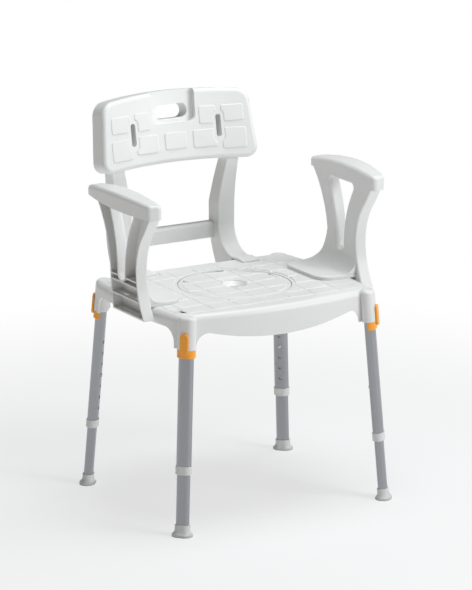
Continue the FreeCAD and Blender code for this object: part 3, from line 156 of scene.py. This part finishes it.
# The grip tiles on the seat: low raised squares with soft rims, moulded in one with the seat's top. They stop
# short of the lid's ring, of the armrests' and backrest's tongues, and of the seat's rounded edge.
TOOL_HEIGHT = 0.010
CORNER_SEGMENTS = 5
ROUND_SIDES = 96
lid_low, lid_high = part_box("seat_lid")
lid_middle = (Vector(lid_low) + Vector(lid_high)) / 2
lid_radius = (lid_high[0] - lid_low[0]) / 2
seat_top = lid_high[2]


def only(piece):
    """Selects one piece and nothing else."""
    bpy.ops.object.select_all(action="DESELECT")
    piece.select_set(True)
    bpy.context.view_layer.objects.active = piece


def block(low, high, corner, axis):
    """A box between two corners, with its four edges along one axis rounded."""
    bpy.ops.object.select_all(action="DESELECT")
    middle = [(a + b) / 2 for a, b in zip(low, high)]
    size = [b - a for a, b in zip(low, high)]
    bpy.ops.mesh.primitive_cube_add(size=1.0, location=middle, scale=size)
    made = bpy.context.active_object
    bpy.ops.object.transform_apply(location=True, rotation=True, scale=True)
    bpy.ops.object.mode_set(mode="EDIT")
    bpy.ops.mesh.select_mode(type="EDGE")
    bpy.ops.mesh.select_all(action="DESELECT")
    bpy.ops.object.mode_set(mode="OBJECT")
    for edge in made.data.edges:
        first, last = (made.data.vertices[v].co for v in edge.vertices)
        edge.select = abs((first - last)[axis]) > size[axis] / 2
    bpy.ops.object.mode_set(mode="EDIT")
    bpy.ops.mesh.bevel(offset=corner, segments=CORNER_SEGMENTS)
    bpy.ops.object.mode_set(mode="OBJECT")
    return made


def round_tool(radius):
    """An upright cylinder round the middle of the lid, tall enough to cut through the tiles."""
    bpy.ops.object.select_all(action="DESELECT")
    place = (lid_middle.x, lid_middle.y, seat_top)
    bpy.ops.mesh.primitive_cylinder_add(vertices=ROUND_SIDES, radius=radius, depth=TOOL_HEIGHT,
                                        location=place)
    made = bpy.context.active_object
    bpy.ops.object.transform_apply(location=True, rotation=True, scale=True)
    return made


def cut(piece, tool, operation="DIFFERENCE"):
    """Cuts a piece with a tool, or keeps only what they share, and takes the tool away."""
    modifier = piece.modifiers.new("cut", "BOOLEAN")
    modifier.operation = operation
    modifier.solver = "EXACT"
    modifier.object = tool
    only(piece)
    bpy.ops.object.modifier_apply(modifier="cut")
    bpy.data.objects.remove(tool)


def copy_of(piece):
    """A copy with a mesh of its own."""
    made = piece.copy()
    made.data = piece.data.copy()
    bpy.context.collection.objects.link(made)
    return made


def join(pieces, name):
    """Makes one piece out of several, under a new name."""
    only(pieces[0])
    for piece in pieces:
        piece.select_set(True)
    bpy.ops.object.join()
    pieces[0].name = name
    return pieces[0]


def pick_faces(piece, test):
    """Selects the faces that pass a test, and stays in edit mode."""
    only(piece)
    bpy.ops.object.mode_set(mode="EDIT")
    bpy.ops.mesh.select_mode(type="FACE")
    bpy.ops.mesh.select_all(action="DESELECT")
    bpy.ops.object.mode_set(mode="OBJECT")
    for face in piece.data.polygons:
        face.select = test(face)
    bpy.ops.object.mode_set(mode="EDIT")


RIM_WIDTH = 0.0018
RIM_RISE = 0.0010
RIM_HOLD = 0.0005
SLIVER = 0.00012
SQUARE_ON = 0.9
SMOOTH_ANGLE = math.radians(40.0)


def raise_tops(piece, facing):
    """Drops the tiles too small for a rim, and turns the others' flat tops into low, soft-edged plateaus."""
    pick_faces(piece, lambda face: face.normal.dot(facing) > SQUARE_ON and face.area < SLIVER)
    bpy.ops.mesh.select_linked()
    bpy.ops.mesh.delete(type="FACE")
    bpy.ops.object.mode_set(mode="OBJECT")
    pick_faces(piece, lambda face: face.normal.dot(facing) > SQUARE_ON)
    bpy.ops.mesh.inset(use_individual=True, use_even_offset=False, thickness=RIM_WIDTH, depth=RIM_RISE)
    bpy.ops.mesh.inset(use_individual=True, use_even_offset=False, thickness=RIM_HOLD, depth=0.0)
    bpy.ops.object.mode_set(mode="OBJECT")
    only(piece)
    bpy.ops.object.shade_smooth_by_angle(angle=SMOOTH_ANGLE)


TILE_PITCH_X = 0.062
TILE_PITCH_Y = 0.0558
TILE_GROOVE = 0.0045
TILE_CORNER = 0.004
TILE_SINK = 0.0006
TILE_BASE = 0.0002
TILE_COLUMN = -0.020
TILE_ROW = 0.1605
TILE_COLUMNS = 9
TILE_ROWS = 6
FIELD_SIDE = 0.229
FIELD_FRONT = -0.1600
FIELD_CORNER = 0.020
tile_low = seat_top - TILE_SINK
tile_high = seat_top + TILE_BASE


def tile_sheet(name):
    """All the squares of the pattern, each a copy of the first."""
    half_x = (TILE_PITCH_X - TILE_GROOVE) / 2
    half_y = (TILE_PITCH_Y - TILE_GROOVE) / 2
    first = block((-half_x, -half_y, tile_low), (half_x, half_y, tile_high), TILE_CORNER, 2)
    tiles = []
    for row in range(TILE_ROWS):
        for column in range(TILE_COLUMNS):
            x = TILE_COLUMN + (column - TILE_COLUMNS // 2 + 0.5) * TILE_PITCH_X
            y = lid_middle.y + TILE_ROW - (row + 0.5) * TILE_PITCH_Y
            tile = copy_of(first)
            tile.data.transform(Matrix.Translation((x, y, 0.0)))
            tiles.append(tile)
    bpy.data.objects.remove(first)
    return join(tiles, name)


def flat_block(x_low, x_high, y_low, y_high, corner):
    """A rounded block through the seat's top, its y measured from the middle of the lid."""
    low = (x_low, lid_middle.y + y_low, seat_top - TOOL_HEIGHT / 2)
    high = (x_high, lid_middle.y + y_high, seat_top + TOOL_HEIGHT / 2)
    return block(low, high, corner, 2)


RING_GAP = 0.010
UP = Vector((0.0, 0.0, 1.0))
ARM_TONGUE = (0.162, 0.262, -0.086, 0.087, 0.034)
BACK_TONGUE = (0.099, 0.160, 0.134, 0.262, 0.006)
seat_tiles = tile_sheet("seat_tiles")
cut(seat_tiles, flat_block(-FIELD_SIDE, FIELD_SIDE, FIELD_FRONT, TILE_ROW, FIELD_CORNER), "INTERSECT")
raise_tops(seat_tiles, UP)
cut(seat_tiles, round_tool(lid_radius + RING_GAP))
for sign in (-1.0, 1.0):
    for near, far, front, rear, corner in (ARM_TONGUE, BACK_TONGUE):
        low_x, high_x = sorted((sign * near, sign * far))
        cut(seat_tiles, flat_block(low_x, high_x, front, rear, corner))
coat(seat_tiles, white_plastic)
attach(seat_tiles, "chair")

# The seat lid: a flat moulded disc with a dished finger hole that rests on a ledge in the seat. The squares
# run on across it, inside a plain ring, and round the hole.
LID_MARGIN = 0.008
HOLE_RADIUS = 0.0285
dress("seat_lid", white_plastic)
lid_tiles = tile_sheet("lid_tiles")
cut(lid_tiles, round_tool(lid_radius - LID_MARGIN), "INTERSECT")
raise_tops(lid_tiles, UP)
cut(lid_tiles, round_tool(HOLE_RADIUS))
coat(lid_tiles, white_plastic)
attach(lid_tiles, "lid")

# The backrest: a curved panel on two uprights, with a crossbar between them, all injection-moulded in the
# seat's plastic. Screws hold the panel and the crossbar to the uprights.
for part in ("back_panel", "back_upright_left", "back_upright_right", "back_crossbar"):
    dress(part, white_plastic)

# The pads on the backrest: nine low raised plateaus moulded in one with its curved front. Those beside the
# two upright slots have a corner cut back round the slot.
PAD_CORNER = 0.005
PAD_DEPTH = 0.020
SLOT_X = 0.106
SLOT_MARGIN = 0.013
SLOT_CORNER = 0.0104
SLOT_LOW = 0.717
SLOT_HIGH = 0.784
SKIN_OFFSET = 0.5
FORWARDS = Vector((0.0, -1.0, 0.0))
CENTRE_PAD = (-0.027, 0.027, 0.709, 0.746)
SIDE_PADS = (
    (0.043, 0.100, 0.707, 0.746),
    (0.112, 0.167, 0.700, 0.745),
    (0.113, 0.164, 0.759, 0.795),
    (0.061, 0.101, 0.757, 0.796),
)
panel_low, panel_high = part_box("back_panel")
pads_front = panel_low[1] - PAD_DEPTH
reach = 2 * PAD_DEPTH


def pad_block(x_low, x_high, z_low, z_high, corner):
    """A rounded block that runs from in front of the panel to behind it."""
    return block((x_low, pads_front, z_low), (x_high, panel_high[1], z_high), corner, 1)


pads = [pad_block(*CENTRE_PAD, PAD_CORNER)]
for sign in (-1.0, 1.0):
    for near, far, low, high in SIDE_PADS:
        low_x, high_x = sorted((sign * near, sign * far))
        pads.append(pad_block(low_x, high_x, low, high, PAD_CORNER))
back_pads = join(pads, "back_pads")
for sign in (-1.0, 1.0):
    low = (sign * SLOT_X - SLOT_MARGIN, pads_front - reach, SLOT_LOW)
    high = (sign * SLOT_X + SLOT_MARGIN, panel_high[1] + reach, SLOT_HIGH)
    cut(back_pads, block(low, high, SLOT_CORNER, 1))
pick_faces(back_pads, lambda face: face.normal.dot(FORWARDS) < SQUARE_ON)
bpy.ops.mesh.delete(type="FACE")
bpy.ops.object.mode_set(mode="OBJECT")
drop = back_pads.modifiers.new("onto the panel", "SHRINKWRAP")
drop.wrap_method = "PROJECT"
drop.target = frame["nodes"]["back_panel"]
drop.use_project_x = False
drop.use_project_y = True
drop.use_project_z = False
drop.use_negative_direction = True
drop.use_positive_direction = True
only(back_pads)
bpy.ops.object.modifier_apply(modifier=drop.name)
skin = back_pads.modifiers.new("thickness", "SOLIDIFY")
skin.thickness = TILE_SINK + TILE_BASE
skin.offset = SKIN_OFFSET
only(back_pads)
bpy.ops.object.modifier_apply(modifier=skin.name)
raise_tops(back_pads, FORWARDS)
coat(back_pads, white_plastic)
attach(back_pads, "backrest")

# The armrests: one moulding each in the seat's plastic, with a hand pad on top. A tongue lies on the seat and
# a hook goes round its edge, so each armrest lifts off.
for side in ("left", "right"):
    dress(f"armrest_{side}", white_plastic)


# The leg tubes: drawn aluminium, satin anodised, with fine die lines that run along the tube. The inner tube
# slides in the outer one, and the outer tube plugs into the seat's corner socket.
ALUMINIUM_DARK = (0.30, 0.31, 0.33)
ALUMINIUM_LIGHT = (0.40, 0.41, 0.43)


def anodised_aluminium(name):
    material, shader, place = new_material(name, Metallic=1.0)
    along = place.out("ShaderNodeMapping", {}, {"Vector": place, "Scale": (900.0, 900.0, 5.0)})
    lines = noise(along, 1.0, 2.0, 0.6)
    patches = noise(place, 18.0, 3.0)
    streaks = lines * 0.6 + patches * 0.4
    join_to(shader, "Base Color", tint(place, streaks, ALUMINIUM_DARK, ALUMINIUM_LIGHT))
    join_to(shader, "Roughness", lines * 0.12 + patches * 0.08 + 0.27)
    join_to(shader, "Normal", bump(place, 0.15, 0.00005, lines))
    return material


CORNERS = ("front_left", "front_right", "rear_left", "rear_right")
aluminium = anodised_aluminium("satin_aluminium")
for corner in CORNERS:
    dress(f"outer_tube_{corner}", aluminium)
    dress(f"inner_tube_{corner}", aluminium)

# The collars on the outer tubes' ends and the plugs in the inner tubes' ends: pale grey moulded plastic.
# The collar guides the inner tube where it slides.
PALE_DARK = (0.66, 0.67, 0.66)
PALE_LIGHT = (0.74, 0.75, 0.74)
PALE_ROUGHNESS = 0.40
pale_plastic = moulded_plastic("pale_grey_plastic", PALE_DARK, PALE_LIGHT, PALE_ROUGHNESS)
for corner in CORNERS:
    dress(f"tube_collar_{corner}", pale_plastic)
    dress(f"inner_tube_plug_{corner}", pale_plastic)


# The feet: ferrules of matt pale grey rubber, pushed onto the inner tubes' ends. Their colour is a little
# darker towards the bottom, within about a centimetre of the floor.
RUBBER_NEAR_FLOOR = (0.42, 0.42, 0.41)
RUBBER_HIGHER_UP = (0.68, 0.69, 0.67)
DARKENING_LOW = 0.001
DARKENING_HIGH = 0.009


def ferrule_rubber(name):
    material, shader, place = new_material(name, IOR=1.52)
    split = place.node("ShaderNodeSeparateXYZ", {}, {"Vector": place})
    height = Signal(place.tree, split.outputs["Z"])
    # The colour runs from darker at the bottom of the foot to lighter higher up, with a ragged edge.
    ragged = height + noise(place, 220.0, 3.0) * 0.004
    inputs = {"Value": ragged, "From Min": DARKENING_LOW, "From Max": DARKENING_HIGH}
    higher_share = place.out("ShaderNodeMapRange", {"interpolation_type": "SMOOTHSTEP"}, inputs)
    join_to(shader, "Base Color", tint(place, higher_share, RUBBER_NEAR_FLOOR, RUBBER_HIGHER_UP))
    join_to(shader, "Roughness", noise(place, 60.0) * 0.15 + 0.52)
    grain = noise(place, 900.0, 2.0)
    join_to(shader, "Normal", bump(place, 0.35, 0.00015, grain))
    return material


foot_rubber = ferrule_rubber("pale_rubber")
for corner in CORNERS:
    dress(f"foot_{corner}", foot_rubber)

# The lock clips: bright orange moulded plastic, smooth and a little glossy. Each holds a leg in its socket
# with a pin, and pulls out.
ORANGE_DARK = (0.95, 0.36, 0.020)
ORANGE_LIGHT = (1.00, 0.42, 0.030)
ORANGE_ROUGHNESS = 0.30
orange_plastic = moulded_plastic("orange_plastic", ORANGE_DARK, ORANGE_LIGHT, ORANGE_ROUGHNESS)
for corner in CORNERS:
    dress(f"lock_clip_{corner}", orange_plastic)


# The snap buttons, their leaf springs and the screws: zinc-plated steel. A spring in each inner tube pushes
# its button out through a height hole of the outer tube.
STEEL_DARK = (0.50, 0.50, 0.51)
STEEL_LIGHT = (0.66, 0.66, 0.65)


def plated_steel(name):
    material, shader, place = new_material(name, Metallic=1.0)
    spots = noise(place, 260.0, 4.0)
    join_to(shader, "Base Color", tint(place, spots, STEEL_DARK, STEEL_LIGHT))
    join_to(shader, "Roughness", spots * 0.2 + 0.22)
    return material


steel = plated_steel("zinc_plated_steel")
for corner in CORNERS:
    dress(f"snap_button_{corner}", steel)
    dress(f"button_spring_{corner}", steel)
for part in ("back_panel_screws", "crossbar_screws"):
    dress(part, steel)


# The floor: a pale matt studio floor under the chair. It isn't part of the chair, and it fades to plain white
# away from it.
FLOOR_SIZE = 60.0
FLOOR_COLOUR = (0.86, 0.86, 0.87, 1.0)
FLOOR_ROUGHNESS = 0.9
WHITE_GLOW = (1.0, 1.0, 1.0, 1.0)
FADE = {"From Min": 0.5, "From Max": 1.7, "To Min": 0.62, "To Max": 1.0}
bpy.ops.object.select_all(action="DESELECT")
bpy.ops.mesh.primitive_plane_add(size=FLOOR_SIZE, location=(0, 0, 0))
floor = bpy.context.active_object
floor.name = "studio_floor"
material, shader, place = new_material("studio_floor", Roughness=FLOOR_ROUGHNESS, Base_Color=FLOOR_COLOUR)
matt = Signal(place.tree, shader.outputs[0])
glow = place.out("ShaderNodeEmission", {}, {"Color": WHITE_GLOW})
distance = place.out("ShaderNodeVectorMath", {"operation": "LENGTH"}, {0: place}, output=1)
fade = place.out("ShaderNodeMapRange", {"interpolation_type": "SMOOTHSTEP"}, {"Value": distance, **FADE})
surface = place.out("ShaderNodeMixShader", {}, {0: fade, 1: matt, 2: glow})
output = next(n for n in place.tree.nodes if n.type == "OUTPUT_MATERIAL")
join_to(output, "Surface", surface)
floor.data.materials.append(material)


# The studio: a big soft key light from the right and front, an equal one overhead, both slightly cool, and a
# dim warm surround.
MIDDLE = (0.0, -0.05, 0.45)
LIGHT_SIZE = 1.6
SURROUND_COLOUR = (1.0, 0.94, 0.90, 1.0)
SURROUND_STRENGTH = 0.10


def soft_light(name, place, power, colour):
    """A square area light that faces the middle of the chair."""
    data = bpy.data.lights.new(name, "AREA")
    data.shape = "RECTANGLE"
    data.size = LIGHT_SIZE
    data.size_y = LIGHT_SIZE
    data.energy = power
    data.color = colour
    light = bpy.data.objects.new(name, data)
    bpy.context.collection.objects.link(light)
    light.location = place
    light.rotation_euler = (Vector(MIDDLE) - Vector(place)).to_track_quat("-Z", "Y").to_euler()


soft_light("key", (2.2, -3.0, 1.9), 72.0, (0.94, 0.98, 1.0))
soft_light("top", (0.3, -0.2, 3.0), 58.0, (0.96, 0.99, 1.0))
world = bpy.data.worlds.new("studio")
world.use_nodes = True
surround = world.node_tree.nodes["Background"]
surround.inputs["Color"].default_value = SURROUND_COLOUR
surround.inputs["Strength"].default_value = SURROUND_STRENGTH
bpy.context.scene.world = world
bpy.context.scene.view_settings.view_transform = "Standard"

# The camera: a long lens that looks at the middle of the chair from the front left and a little above.
# The frame is upright, so the sensor is fitted to its height.
AZIMUTH = math.radians(-30.54)
ELEVATION = math.radians(14.74)
DISTANCE = 7.426
TARGET = Vector((0.0, -0.0504, 0.439))
SENSOR_HEIGHT = 36.0
FOCAL_LENGTH = 212.5
level = math.cos(ELEVATION)
back = Vector((math.sin(AZIMUTH) * level, -math.cos(AZIMUTH) * level, math.sin(ELEVATION)))
lens = bpy.data.cameras.new("camera")
lens.sensor_fit = "VERTICAL"
lens.sensor_height = SENSOR_HEIGHT
lens.lens = FOCAL_LENGTH
camera = bpy.data.objects.new("camera", lens)
bpy.context.collection.objects.link(camera)
camera.location = TARGET + back * DISTANCE
camera.rotation_euler = (-back).to_track_quat("-Z", "Y").to_euler()
bpy.context.scene.camera = camera
